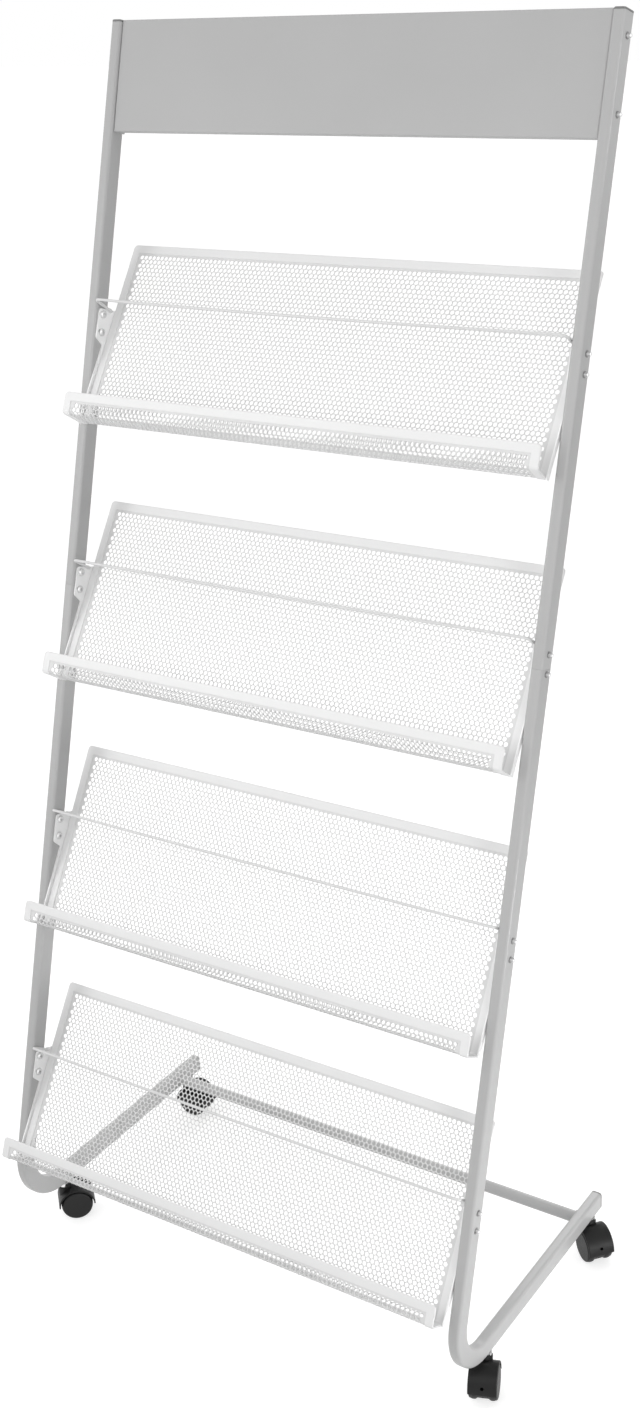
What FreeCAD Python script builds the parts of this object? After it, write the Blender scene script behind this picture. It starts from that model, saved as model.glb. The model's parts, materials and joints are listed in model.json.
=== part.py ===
import FreeCAD, Part
import math
import os

from FreeCAD import Placement, Rotation, Vector

# Periodical display rack: two leaning tube frames on casters that carry four perforated
# shelves and a header panel. Millimetres. X runs across the rack, Y to the back, Z up.
# The origin is on the floor, midway between the side frames and midway along the depth.

# ---- side frames
FRAME_CENTRES = 686.0        # between the centrelines of the left and right uprights
TUBE_WIDTH = 15.0            # across the rack
TUBE_DEPTH = 25.0            # in the plane of the side frame
TUBE_WALL = 1.5
TUBE_CORNER = 4.0            # outer corner radius
HOLE_OVERRUN = 1.0           # how far a cutting cylinder runs past the faces
LEAN = 16.4                  # degrees that the uprights lean back
UPRIGHT_LENGTH = 1594.0      # from where the centrelines of upright and foot would cross
FOOT_LENGTH = 409.0          # from the same crossing to the back end
BEND_RADIUS = 60.0           # of the centreline
FOOT_ABOVE_FLOOR = 57.0      # underside of the foot
CROSSING_Y = -217.0          # the crossing, in front of the origin

# ---- joint in each upright, beside the lower bolt of the second shelf
SLEEVE_LENGTH = 120.0
SLEEVE_WALL = 1.5
SLEEVE_FIT = 0.1             # to the tube's inside, on every side
SEAM_LAND = 1.5              # metal between the lower nut's flange and the seam

# ---- rear bar and plastic caps
REAR_BAR_D = 16.0
REAR_BAR_WALL = 1.5
REAR_BAR_INSET = 49.0        # from the back end of the foot
CAP_PLATE = 2.5
CAP_PLUG = 11.0              # depth inside the tube
CAP_FIT = 0.15
CAP_BEVEL = 0.8

# ---- M5 bolts, put in from the inside, and the rivet nuts in the outer walls of the tubes
BOLT_D = 5.0
BOLT_HOLE_D = 5.5
BOLT_HEAD_D = 10.0
BOLT_HEAD_HEIGHT = 3.3
BOLT_HEAD_RIM = 0.9          # straight edge of the head under its dome
BOLT_HEAD_FLAT_D = 6.4       # flat top of the dome
BOLT_RECESS = 4.6            # across the cross recess, and each arm's width and depth
BOLT_RECESS_ARM = 1.1
BOLT_RECESS_DEPTH = 1.8
BOLT_END_PAST = 5.5          # the end stands this far out of the tube
BOLT_END_BEVEL = 1.0
NUT_D = 7.0                  # body of the rivet nut, inside the tube
NUT_HEIGHT = 8.0
NUT_FLANGE_D = 8.0
NUT_FLANGE = 0.5
NUT_FIT = 0.1                # radial, in the wall of the tube
THREAD_PLAY = 0.05           # radial, between the bolt and the nut

# ---- header panel
HEADER_HEIGHT = 136.0
HEADER_SHEET = 1.2
HEADER_FIT = 0.1             # to each upright
HEADER_FOLD = 2.0            # outer radius of the folds
HEADER_SETBACK = 4.0         # front face behind the front of the tubes, where their corners start
HEADER_HEM = 10.0            # depth of the bottom flange
HEADER_BOLT_TOP = 27.5       # upper bolt below the top of the uprights
HEADER_BOLT_PITCH = 81.9

# ---- shelves; a means up along the back panel, n means out of it to the front
SHELF_TOP = 363.5            # upper bolt of the top shelf below the top of the uprights
SHELF_PITCH = 334.7
SHELF_BOLT_PITCH = 22.5
SHELF_RECLINE = 17.4         # degrees that the panel leans back more than the upright
SHELF_SWINGS = (1.3, 0.2, -1.5, 0.0)    # degrees that each shelf is set on its slot
PANEL_HEIGHT = 248.0
TRAY_DEPTH = 36.5
TRAY_SPREAD = 3.5            # tray front and lip wider than the panel, at each end
LIP_HEIGHT = 27.3
LIP_FLARE = 11.2             # degrees that the lip opens from the panel
FOLD_RADIUS = 4.0            # of the sheet's middle line
MESH_SHEET = 1.0
EDGE_SHEET = 0.8
EDGE_WIDTH = 11.0
EDGE_FIT = 0.05              # between the edging and the mesh, on every side
PANEL_CORNER = 5.0
GRID_ACROSS = 12             # openings along the shelf
GRID_UP = 5                  # rows of them in the panel, with one row in the tray and one in the lip
GRID_BAR = 20.0              # metal between two openings along the shelf
GRID_RUNG = 16.5             # and between two rows in the panel
GRID_LAND = 3.5              # metal between an opening and a fold
GRID_RIM = 0.5               # between the openings' field and the edging
GRID_LIP_LAND = 2.0          # metal below and above the openings in the lip
BOLT_UP_PANEL = 141.0        # a of the upper bolt
BOLT_OFF_PANEL = 20.9        # n of the upper bolt

# ---- shelf brackets, against the inner faces of the uprights
BRACKET_SHEET = 1.5
BRACKET_STRIP = 5.0          # n of the strip along the end of the panel
EAR_FRONT_TOP = 7.2          # in front of the bolts, at the top of the ear
EAR_FRONT_BOTTOM = 9.0       # and at its bottom
EAR_ABOVE = 7.5              # above the upper bolt
EAR_BELOW = 7.5              # below the lower bolt
EAR_ROOT = 35.5              # where the ear meets the strip, below the upper bolt
EAR_CORNER = 4.0
SLOT_LENGTH = 11.0           # of the lower hole, end to end

# ---- retainer wires
WIRE_D = 3.6
WIRE_REACH = 46.5            # n of the front run
WIRE_ROOT = 8.5              # n of the welded ends
WIRE_CORNER = 8.0
WIRE_HEAD_GAP = 3.1          # clear of the upper bolt's head

# ---- casters
CASTER_FRONT_INSET = 8.0     # stem behind the end of the bend
CASTER_REAR_INSET = 24.0     # stem in front of the back end of the foot
CASTER_TRAIL = 15.0          # stem axis to axle
CASTER_HEADINGS = {          # degrees from +X to the side that the wheels trail to
    "front_left": 45.1,
    "front_right": -69.1,
    "rear_left": 0.0,
    "rear_right": -38.9,
}
WHEEL_D = 45.0
WHEEL_WIDTH = 10.8
WHEEL_CROWN = 0.8
WHEEL_SHOULDER = 3.0
WHEEL_RIM = 4.5
WHEEL_HUB_D = 12.0
WHEEL_RECESS = 8.0
WHEEL_END_WALL = 2.0
WHEEL_GAP = 0.3              # beside the housing
AXLE_D = 5.0
AXLE_END_GAP = 0.3
RUNNING_FIT = 0.05           # radial, wheels on the axle and housing on the stem
HOUSING_WIDTH = 14.4         # between the wheels
HOUSING_RAISE = 2.0          # above the floor
HOOD_GAP = 1.5               # over the wheels
HOOD_WALL = 2.0
HOOD_ROUND = 1.2
NECK_D = 18.0
NECK_GAP = 0.3               # under the stem's collar
STEM_D = 8.0
STEM_UP = 12.0               # above the underside of the foot
STEM_BOTTOM = 26.0           # above the floor
STEM_COLLAR_D = 15.0
STEM_COLLAR = 5.5
VENT_D = 4.5
VENT_DEPTH = 6.0
VENT_ANGLES = (20.0, -10.0, -38.0)      # degrees above the axle, on the trailing side
INSERT_D = 11.0
INSERT_FLANGE_D = 14.0
INSERT_FLANGE = 1.0
INSERT_HEIGHT = 14.0
INSERT_FIT = 0.05

# ---- worked out from the sizes above
SIDES = {"left": -1, "right": 1}
FRAME_X = FRAME_CENTRES / 2
INNER_X = FRAME_X - TUBE_WIDTH / 2
OUTER_X = FRAME_X + TUBE_WIDTH / 2
FOOT_Z = FOOT_ABOVE_FLOOR + TUBE_DEPTH / 2
BEND_TURN = 90.0 + LEAN
BEND_TANGENT = BEND_RADIUS * math.tan(math.radians(BEND_TURN / 2))
BORE_WIDTH = TUBE_WIDTH - 2 * TUBE_WALL
BORE_DEPTH = TUBE_DEPTH - 2 * TUBE_WALL
BORE_CORNER = TUBE_CORNER - TUBE_WALL
UPPER_BOLTS = [UPRIGHT_LENGTH - SHELF_TOP - i * SHELF_PITCH for i in range(len(SHELF_SWINGS))]
SHELF_BOLTS = [s - drop for s in UPPER_BOLTS for drop in (0.0, SHELF_BOLT_PITCH)]
HEADER_BOLTS = [UPRIGHT_LENGTH - HEADER_BOLT_TOP - drop for drop in (0.0, HEADER_BOLT_PITCH)]
SEAM = UPPER_BOLTS[1] - SHELF_BOLT_PITCH + NUT_FLANGE_D / 2 + SEAM_LAND
EDGE_THICKNESS = MESH_SHEET + 2 * (EDGE_FIT + EDGE_SHEET)
SHELF_X = INNER_X - BRACKET_SHEET
RECLINE = math.radians(SHELF_RECLINE)
WHEEL_R = WHEEL_D / 2
HOOD_INNER_R = WHEEL_R + HOOD_GAP
HOOD_OUTER_R = HOOD_INNER_R + HOOD_WALL
CASTER_WIDTH = HOUSING_WIDTH + 2 * (WHEEL_GAP + WHEEL_WIDTH)
COLLAR_TOP = FOOT_ABOVE_FLOOR - INSERT_FLANGE
COLLAR_BOTTOM = COLLAR_TOP - STEM_COLLAR

ALONG_X, ALONG_Y, ALONG_Z = Vector(1, 0, 0), Vector(0, 1, 0), Vector(0, 0, 1)
# Frame of an upright: Z runs up its centreline from the crossing, Y square to it to the back.
UPRIGHT = Placement(Vector(0, CROSSING_Y, FOOT_Z), Rotation(ALONG_X, -LEAN))
# Frame of a foot: Z runs back along its centreline from the same crossing.
FOOT = Placement(Vector(0, CROSSING_Y, FOOT_Z), Rotation(ALONG_X, -90.0))


# ---- helpers

def placed(shape, *placements):
    """Copy of a shape moved by each placement in turn, the innermost first."""
    copy = shape.copy()
    for placement in placements:
        copy.Placement = placement.multiply(copy.Placement)
    return copy


def shift(x=0.0, y=0.0, z=0.0):
    return Placement(Vector(x, y, z), Rotation())


def cylinder(radius, start, end):
    """Cylinder between two points on its axis."""
    axis = end - start
    return Part.makeCylinder(radius, axis.Length, start, axis)


def centred_box(x, y, z, centre):
    """Box of the given sizes about a centre."""
    return Part.makeBox(x, y, z, centre - Vector(x / 2, y / 2, z / 2))


def rounded_bar(width, depth, corner, length):
    """Solid bar of rounded rectangular section that runs up Z from the origin."""
    bar = Part.makeBox(width, depth, length, Vector(-width / 2, -depth / 2, 0))
    upright_edges = [e for e in bar.Edges if abs(e.tangentAt(e.FirstParameter).z) > 0.99]
    return bar.makeFillet(corner, upright_edges)


def section_face():
    """Cross-section of the frame tube in the XY plane, with its bore."""
    outer = rounded_bar(TUBE_WIDTH, TUBE_DEPTH, TUBE_CORNER, 1.0)
    inner = rounded_bar(BORE_WIDTH, BORE_DEPTH, BORE_CORNER, 1.0)
    return min(outer.cut(inner).Faces, key=lambda face: face.CenterOfMass.z)


def straight_tube(start, end):
    """Frame tube up Z from one height to another."""
    return placed(section_face(), shift(z=start)).extrude(Vector(0, 0, end - start))


def holes_across(diameter, start, end, heights):
    """Cutters of one diameter across an upright, from one x to another, at heights along it."""
    return [cylinder(diameter / 2, Vector(start, 0, s), Vector(end, 0, s)) for s in heights]


def bolt_holes(sign, heights):
    """Cutters through a tube: for the bolts in its inner wall, for the rivet nuts in its outer one."""
    reach = sign * (TUBE_WIDTH / 2 + HOLE_OVERRUN)
    return (holes_across(BOLT_HOLE_D, -reach, 0, heights)
            + holes_across(NUT_D + 2 * NUT_FIT, 0, reach, heights))


def spun(points, centre=Vector(0, 0, 0), axis=ALONG_Z):
    """Solid turned about an axis from a closed outline of points."""
    return Part.Face(Part.makePolygon(points + points[:1])).revolve(centre, axis, 360)


# ---- side frames

def lower_side_frame(sign):
    """Foot, bend and lower part of an upright in one bent tube, with its holes."""
    upright = placed(straight_tube(BEND_TANGENT, SEAM), UPRIGHT)
    foot = placed(straight_tube(BEND_TANGENT, FOOT_LENGTH - CAP_PLATE), FOOT)
    bend_centre = Vector(0, CROSSING_Y + BEND_TANGENT, FOOT_Z + BEND_RADIUS)
    bend_start = placed(section_face(), shift(z=BEND_TANGENT), FOOT)
    bend = bend_start.revolve(bend_centre, ALONG_X, -BEND_TURN)
    tube = foot.fuse([bend, upright]).removeSplitter()
    holes = [placed(hole, UPRIGHT) for hole in bolt_holes(sign, SHELF_BOLTS)]
    for y in caster_places().values():
        under = Vector(0, y, FOOT_ABOVE_FLOOR - HOLE_OVERRUN)
        over = Vector(0, y, FOOT_ABOVE_FLOOR + TUBE_WALL + HOLE_OVERRUN)
        holes.append(cylinder(INSERT_D / 2 + INSERT_FIT, under, over))
    return tube.cut(holes)


def upper_upright(sign):
    """Upper part of an upright, from the seam to the cap."""
    tube = straight_tube(SEAM, UPRIGHT_LENGTH - CAP_PLATE)
    return placed(tube.cut(bolt_holes(sign, SHELF_BOLTS + HEADER_BOLTS)), UPRIGHT)


def joint_sleeve(sign):
    """Inner sleeve that joins the two lengths of an upright."""
    width, depth = BORE_WIDTH - 2 * SLEEVE_FIT, BORE_DEPTH - 2 * SLEEVE_FIT
    corner = BORE_CORNER - SLEEVE_FIT
    outer = rounded_bar(width, depth, corner, SLEEVE_LENGTH)
    inner = rounded_bar(width - 2 * SLEEVE_WALL, depth - 2 * SLEEVE_WALL, corner / 2, SLEEVE_LENGTH)
    sleeve = placed(outer.cut(inner), shift(z=SEAM - SLEEVE_LENGTH / 2))
    return placed(sleeve.cut(bolt_holes(sign, SHELF_BOLTS)), UPRIGHT)


def tube_cap():
    """Plug and plate that close the end of a tube; the plate's underside is at the origin."""
    plate = rounded_bar(TUBE_WIDTH, TUBE_DEPTH, TUBE_CORNER, CAP_PLATE)
    rim = [e for e in plate.Edges if e.CenterOfMass.z > CAP_PLATE - 0.01]
    plate = plate.makeChamfer(CAP_BEVEL, rim)
    width, depth = BORE_WIDTH - 2 * CAP_FIT, BORE_DEPTH - 2 * CAP_FIT
    plug = rounded_bar(width, depth, BORE_CORNER - CAP_FIT, CAP_PLUG)
    return plate.fuse(placed(plug, shift(z=-CAP_PLUG))).removeSplitter()


def rear_bar():
    """Round tube between the two feet."""
    y = CROSSING_Y + FOOT_LENGTH - REAR_BAR_INSET
    start, end = Vector(-INNER_X, y, FOOT_Z), Vector(INNER_X, y, FOOT_Z)
    return cylinder(REAR_BAR_D / 2, start, end).cut(cylinder(REAR_BAR_D / 2 - REAR_BAR_WALL, start, end))


# ---- bolts and nuts

def pan_bolt(grip):
    """Bolt up Z: the underside of its head at the origin, its shank downwards."""
    rim, flat = BOLT_HEAD_D / 2, BOLT_HEAD_FLAT_D / 2
    dome, rise = rim - flat, BOLT_HEAD_HEIGHT - BOLT_HEAD_RIM
    dome_middle = Vector(flat + dome * math.sqrt(0.5), 0, BOLT_HEAD_RIM + rise * math.sqrt(0.5))
    edges = [
        Part.makeLine(Vector(0, 0, 0), Vector(rim, 0, 0)),
        Part.makeLine(Vector(rim, 0, 0), Vector(rim, 0, BOLT_HEAD_RIM)),
        Part.Arc(Vector(rim, 0, BOLT_HEAD_RIM), dome_middle, Vector(flat, 0, BOLT_HEAD_HEIGHT)).toShape(),
        Part.makeLine(Vector(flat, 0, BOLT_HEAD_HEIGHT), Vector(0, 0, BOLT_HEAD_HEIGHT)),
        Part.makeLine(Vector(0, 0, BOLT_HEAD_HEIGHT), Vector(0, 0, 0)),
    ]
    head = Part.Face(Part.Wire(edges)).revolve(Vector(0, 0, 0), ALONG_Z, 360)
    top = Vector(0, 0, BOLT_HEAD_HEIGHT)
    recess = [centred_box(x, y, 2 * BOLT_RECESS_DEPTH, top)
              for x, y in ((BOLT_RECESS, BOLT_RECESS_ARM), (BOLT_RECESS_ARM, BOLT_RECESS))]
    radius, end = BOLT_D / 2, -grip - BOLT_END_PAST
    shank = spun([Vector(0, 0, 0), Vector(radius, 0, 0), Vector(radius, 0, end + BOLT_END_BEVEL),
                  Vector(radius - BOLT_END_BEVEL, 0, end), Vector(0, 0, end)])
    return head.cut(recess).fuse(shank).removeSplitter()


def rivet_nut():
    """Threaded tube up Z from the wall that it is set in, its flange below the origin."""
    bore, body, flange = BOLT_D / 2 + THREAD_PLAY, NUT_D / 2, NUT_FLANGE_D / 2
    return spun([Vector(bore, 0, -NUT_FLANGE), Vector(flange, 0, -NUT_FLANGE), Vector(flange, 0, 0),
                 Vector(body, 0, 0), Vector(body, 0, NUT_HEIGHT), Vector(bore, 0, NUT_HEIGHT)])


def across(side, x, s):
    """Placement on an upright with Z pointing inwards, at x from the middle of the rack."""
    turn = Rotation(ALONG_Y, -90.0 * SIDES[side])
    return UPRIGHT.multiply(Placement(Vector(SIDES[side] * x, 0, s), turn))


def bolt_set(heights, sheet):
    """Bolts and nuts that hold a sheet on the inner faces of both uprights."""
    bolt, nut = pan_bolt(TUBE_WIDTH + sheet), rivet_nut()
    places = [(side, s) for side in SIDES for s in heights]
    bolts = [placed(bolt, across(side, INNER_X - sheet, s)) for side, s in places]
    nuts = [placed(nut, across(side, OUTER_X, s)) for side, s in places]
    return Part.makeCompound(bolts), Part.makeCompound(nuts)


# ---- header panel

def header_panel():
    """Folded pan between the uprights, open at the back."""
    half = INNER_X - HEADER_FIT
    front = -TUBE_DEPTH / 2 + HEADER_SETBACK
    depth = TUBE_DEPTH / 2 - front
    outer = Part.makeBox(2 * half, depth, HEADER_HEIGHT, Vector(-half, front, 0))
    outer = outer.makeFillet(HEADER_FOLD, folds_of(outer, front))
    inner_front = front + HEADER_SHEET
    inner = Part.makeBox(2 * (half - HEADER_SHEET), depth, HEADER_HEIGHT - 2 * HEADER_SHEET,
                         Vector(HEADER_SHEET - half, inner_front, HEADER_SHEET))
    inner = inner.makeFillet(HEADER_FOLD - HEADER_SHEET, folds_of(inner, inner_front))
    below = Part.makeBox(2 * (half - HEADER_SHEET), depth, 2 * HEADER_SHEET,
                         Vector(HEADER_SHEET - half, front + HEADER_HEM, -HEADER_SHEET))
    pan = placed(outer.cut([inner, below]), shift(z=UPRIGHT_LENGTH - HEADER_HEIGHT))
    reach = half + HOLE_OVERRUN
    return placed(pan.cut(holes_across(BOLT_HOLE_D, -reach, reach, HEADER_BOLTS)), UPRIGHT)


def folds_of(box, front):
    """The four edges of a box that run to its front corners or along its front face."""
    return [e for e in box.Edges if abs(e.CenterOfMass.y - front) < 0.01]


# ---- shelves

def bent_line(points, radius, axis, offset=0.0):
    """Edges through points in the plane square to axis, arcs at the corners, moved sideways."""
    headings = [(b - a).normalize() for a, b in zip(points, points[1:])]
    normals = [axis.cross(heading) for heading in headings]
    edges, at = [], points[0] + normals[0] * offset
    for corner, before, after in zip(points[1:-1], normals, normals[1:]):
        middle = (before + after).normalize()
        inwards = 1 if before.cross(after).dot(axis) > 0 else -1
        centre = corner + middle * (inwards * radius / middle.dot(before))
        reach = offset - inwards * radius
        start, end = centre + before * reach, centre + after * reach
        edges += [Part.makeLine(at, start), Part.Arc(start, centre + middle * reach, end).toShape()]
        at = end
    return edges + [Part.makeLine(at, points[-1] + normals[-1] * offset)]


def shelf_plan(trim):
    """Outline of a shelf seen along its panel, shortened at the ends by trim, as a tall prism."""
    panel, lip = SHELF_X - trim, SHELF_X + TRAY_SPREAD - trim
    right = [(panel, TRAY_DEPTH), (panel, -BRACKET_STRIP), (lip, -TRAY_DEPTH), (lip, -3 * TRAY_DEPTH)]
    outline = [Vector(x, y, -TRAY_DEPTH) for x, y in right + [(-x, y) for x, y in reversed(right)]]
    return Part.Face(Part.makePolygon(outline + outline[:1])).extrude(Vector(0, 0, 2 * PANEL_HEIGHT))


def folded_sheet(thickness, trim):
    """A shelf's sheet: panel, tray floor and lip, shortened all round by trim."""
    flare = math.radians(LIP_FLARE)
    lip = Vector(0, -math.sin(flare), math.cos(flare)) * (LIP_HEIGHT - trim)
    front = Vector(0, -TRAY_DEPTH, 0)
    points = [Vector(0, 0, PANEL_HEIGHT - trim), Vector(0, 0, 0), front, front + lip]
    one = bent_line(points, FOLD_RADIUS, ALONG_X, thickness / 2)
    other = bent_line(points, FOLD_RADIUS, ALONG_X, -thickness / 2)
    closing = [Part.makeLine(one[0].Vertexes[0].Point, other[0].Vertexes[0].Point),
               Part.makeLine(one[-1].Vertexes[-1].Point, other[-1].Vertexes[-1].Point)]
    outline = Part.Wire(Part.__sortEdges__(one + other + closing))
    profile = placed(Part.Face(outline), shift(x=-2 * SHELF_X))
    return profile.extrude(Vector(4 * SHELF_X, 0, 0)).common(shelf_plan(trim))


def round_top(sheet, trim):
    """The same sheet with its two top corners rounded."""
    top, side = PANEL_HEIGHT - trim, SHELF_X - trim
    corners = [e for e in sheet.Edges
               if abs(e.CenterOfMass.z - top) < 0.01 and abs(abs(e.CenterOfMass.x) - side) < 0.01]
    return sheet.makeFillet(PANEL_CORNER - trim, corners)


def row_of_openings(low, high):
    """Cutters for one row along the shelf, through a sheet in the XZ plane."""
    half = SHELF_X - EDGE_WIDTH - GRID_RIM
    pitch = 2 * half / GRID_ACROSS
    return [centred_box(pitch - GRID_BAR, TRAY_DEPTH / 2, high - low,
                        Vector(-half + (i + 0.5) * pitch, 0, (low + high) / 2))
            for i in range(GRID_ACROSS)]


def grid_openings():
    """Cutters for all openings of a shelf: rows up the panel, one in the tray and one in the lip."""
    start = FOLD_RADIUS + GRID_LAND
    pitch = (PANEL_HEIGHT - EDGE_WIDTH - GRID_RIM - start + GRID_RUNG) / GRID_UP
    cutters = []
    for row in range(GRID_UP):
        low = start + row * pitch
        cutters += row_of_openings(low, low + pitch - GRID_RUNG)
    tray = Placement(Vector(0, 0, 0), Rotation(ALONG_X, 90.0))
    cutters += [placed(box, tray) for box in row_of_openings(start, TRAY_DEPTH - start)]
    lip = Placement(Vector(0, -TRAY_DEPTH, 0), Rotation(ALONG_X, LIP_FLARE))
    lip_row = row_of_openings(FOLD_RADIUS + GRID_LIP_LAND, LIP_HEIGHT - EDGE_WIDTH - GRID_LIP_LAND)
    return cutters + [placed(box, lip) for box in lip_row]


def shelf_mesh():
    """Perforated sheet of a shelf; a plain grid of openings stands for the fine perforation."""
    trim = EDGE_SHEET + EDGE_FIT
    return round_top(folded_sheet(MESH_SHEET, trim), trim).cut(grid_openings())


def shelf_edging():
    """Folded channel that grips the mesh all round."""
    outer = round_top(folded_sheet(EDGE_THICKNESS, 0.0), 0.0)
    window = folded_sheet(EDGE_THICKNESS + EDGE_SHEET, EDGE_WIDTH)
    groove = round_top(folded_sheet(MESH_SHEET + 2 * EDGE_FIT, EDGE_SHEET), EDGE_SHEET)
    return outer.cut([window, groove])


def on_panel(up, out, x=0.0):
    """Point in the shelf's own frame, up the panel and out of it."""
    return Vector(x, -out, up)


def from_bolt(up, back, x=0.0):
    """Point in the shelf's own frame, from the upper bolt along the upright and square to it."""
    rise = up * math.cos(RECLINE) + back * math.sin(RECLINE)
    out = up * math.sin(RECLINE) - back * math.cos(RECLINE)
    return on_panel(BOLT_UP_PANEL + rise, BOLT_OFF_PANEL + out, x)


def shelf_bracket(side):
    """Plate on the end of a shelf: an ear for the bolts and a strip down to the tray."""
    rear = EDGE_THICKNESS / 2
    top_back = (BOLT_OFF_PANEL + EAR_ABOVE * math.sin(RECLINE) + rear) / math.cos(RECLINE)
    outline = [
        on_panel(-rear, -rear),
        on_panel(-rear, BRACKET_STRIP),
        on_panel(BOLT_UP_PANEL - EAR_ROOT, BRACKET_STRIP),
        from_bolt(-SHELF_BOLT_PITCH - EAR_BELOW, -EAR_FRONT_BOTTOM),
        from_bolt(EAR_ABOVE, -EAR_FRONT_TOP),
        from_bolt(EAR_ABOVE, top_back),
    ]
    plate = Part.Face(Part.makePolygon(outline + outline[:1])).extrude(Vector(BRACKET_SHEET, 0, 0))
    rounded = [e for e in plate.Edges
               if abs(e.tangentAt(e.FirstParameter).x) > 0.99
               and min((e.Vertexes[0].Point - p).Length for p in outline[3:5]) < BRACKET_SHEET + 0.1]
    plate = plate.makeFillet(EAR_CORNER, rounded)
    plate = plate.cut([bracket_hole(0.0, 0.0), bracket_hole(SHELF_BOLT_PITCH, SLOT_LENGTH - BOLT_HOLE_D)])
    return placed(plate, shift(x=SHELF_X if side == "right" else -INNER_X))


def bracket_hole(drop, slide):
    """Hole across the bracket below the upper bolt, drawn out square to the panel."""
    bolt = from_bolt(-drop, 0.0)
    ends = [bolt + Vector(0, shift_y, 0) for shift_y in (-slide / 2, slide / 2)]
    reach = Vector(BRACKET_SHEET + HOLE_OVERRUN, 0, 0)
    hole = cylinder(BOLT_HOLE_D / 2, ends[0] - reach, ends[0] + reach)
    if slide == 0:
        return hole
    middle = centred_box(2 * reach.x, slide, BOLT_HOLE_D, bolt)
    return hole.fuse([cylinder(BOLT_HOLE_D / 2, ends[1] - reach, ends[1] + reach), middle])


def retainer_wire():
    """Wire across the front of a shelf, with an arm back to each bracket."""
    root = BOLT_UP_PANEL + BOLT_HEAD_D / 2 + WIRE_HEAD_GAP + WIRE_D / 2
    x = SHELF_X - WIRE_D / 2
    left = [on_panel(root, WIRE_ROOT, -x), on_panel(root, WIRE_REACH, -x)]
    right = [on_panel(root, WIRE_REACH, x), on_panel(root, WIRE_ROOT, x)]
    path = Part.Wire(bent_line(left + right, WIRE_CORNER, ALONG_Z))
    section = Part.Wire(Part.makeCircle(WIRE_D / 2, left[0], left[1] - left[0]))
    return path.makePipeShell([section], True, False)


def shelf_place(index):
    """Placement of a shelf: swung about its upper bolts on the leaning uprights."""
    bolt = on_panel(BOLT_UP_PANEL, BOLT_OFF_PANEL)
    recline = Rotation(ALONG_X, -SHELF_RECLINE - SHELF_SWINGS[index])
    return UPRIGHT.multiply(Placement(Vector(0, 0, UPPER_BOLTS[index]) - recline.multVec(bolt), recline))


# ---- casters, in a frame on the floor under the stem, with X to the trailing side

def caster_places():
    """Y of the front and rear stems."""
    return {"front": CROSSING_Y + BEND_TANGENT + CASTER_FRONT_INSET,
            "rear": CROSSING_Y + FOOT_LENGTH - CASTER_REAR_INSET}


def across_axle(radius, half_width):
    """Cylinder about the axle."""
    left, right = [Vector(CASTER_TRAIL, y, WHEEL_R) for y in (-half_width, half_width)]
    return cylinder(radius, left, right)


def caster_stem():
    """Threaded stem with its collar; the housing turns on the lower end."""
    stem = cylinder(STEM_D / 2, Vector(0, 0, STEM_BOTTOM), Vector(0, 0, FOOT_ABOVE_FLOOR + STEM_UP))
    collar = cylinder(STEM_COLLAR_D / 2, Vector(0, 0, COLLAR_BOTTOM), Vector(0, 0, COLLAR_TOP))
    return stem.fuse(collar).removeSplitter()


def caster_insert():
    """Threaded insert in the underside of the foot."""
    flange = cylinder(INSERT_FLANGE_D / 2, Vector(0, 0, COLLAR_TOP), Vector(0, 0, FOOT_ABOVE_FLOOR))
    body = cylinder(INSERT_D / 2, Vector(0, 0, COLLAR_TOP), Vector(0, 0, FOOT_ABOVE_FLOOR + INSERT_HEIGHT))
    bore = cylinder(STEM_D / 2 + THREAD_PLAY, Vector(0, 0, 0), Vector(0, 0, 2 * FOOT_ABOVE_FLOOR))
    return flange.fuse(body).cut(bore).removeSplitter()


def caster_housing():
    """Hood over the wheels, web between them and neck about the stem."""
    half = CASTER_WIDTH / 2
    hood = across_axle(HOOD_OUTER_R, half)
    hood = hood.makeFillet(HOOD_ROUND, [e for e in hood.Edges if e.Curve.TypeId == "Part::GeomCircle"])
    neck_top = COLLAR_BOTTOM - NECK_GAP
    neck = cylinder(NECK_D / 2, Vector(0, 0, WHEEL_R), Vector(0, 0, neck_top))
    wheel_space = across_axle(HOOD_INNER_R, 2 * half)
    below = Part.makeBox(4 * HOOD_OUTER_R, 4 * HOOD_OUTER_R, HOOD_OUTER_R,
                         Vector(-2 * HOOD_OUTER_R, -2 * HOOD_OUTER_R, WHEEL_R - HOOD_OUTER_R))
    shell = hood.fuse(neck).cut([wheel_space, below])
    web = across_axle(WHEEL_R - HOUSING_RAISE, HOUSING_WIDTH / 2)
    upper_web = across_axle(HOOD_INNER_R + HOOD_WALL / 2, HOUSING_WIDTH / 2).cut(below)
    socket = cylinder(HOUSING_WIDTH / 2, Vector(0, 0, WHEEL_R), Vector(0, 0, neck_top))
    body = shell.fuse([web, upper_web, socket]).removeSplitter()
    bore_bottom = Vector(0, 0, STEM_BOTTOM - NECK_GAP)
    stem_bore = cylinder(STEM_D / 2 + RUNNING_FIT, bore_bottom, Vector(0, 0, neck_top + HOLE_OVERRUN))
    vents = [rear_vent(math.radians(angle)) for angle in VENT_ANGLES]
    return body.cut([stem_bore, across_axle(AXLE_D / 2, half)] + vents)


def rear_vent(angle):
    """Round pocket in the trailing side of the housing, pointing at the axle."""
    axle = Vector(CASTER_TRAIL, 0, WHEEL_R)
    outwards = Vector(math.cos(angle), 0, math.sin(angle))
    depth = HOOD_OUTER_R - VENT_DEPTH - HOUSING_RAISE
    return cylinder(VENT_D / 2, axle + outwards * depth, axle + outwards * (HOOD_OUTER_R + HOLE_OVERRUN))


def caster_axle():
    """Pin through the housing that carries both wheels."""
    return across_axle(AXLE_D / 2, CASTER_WIDTH / 2 - WHEEL_END_WALL - AXLE_END_GAP)


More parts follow.
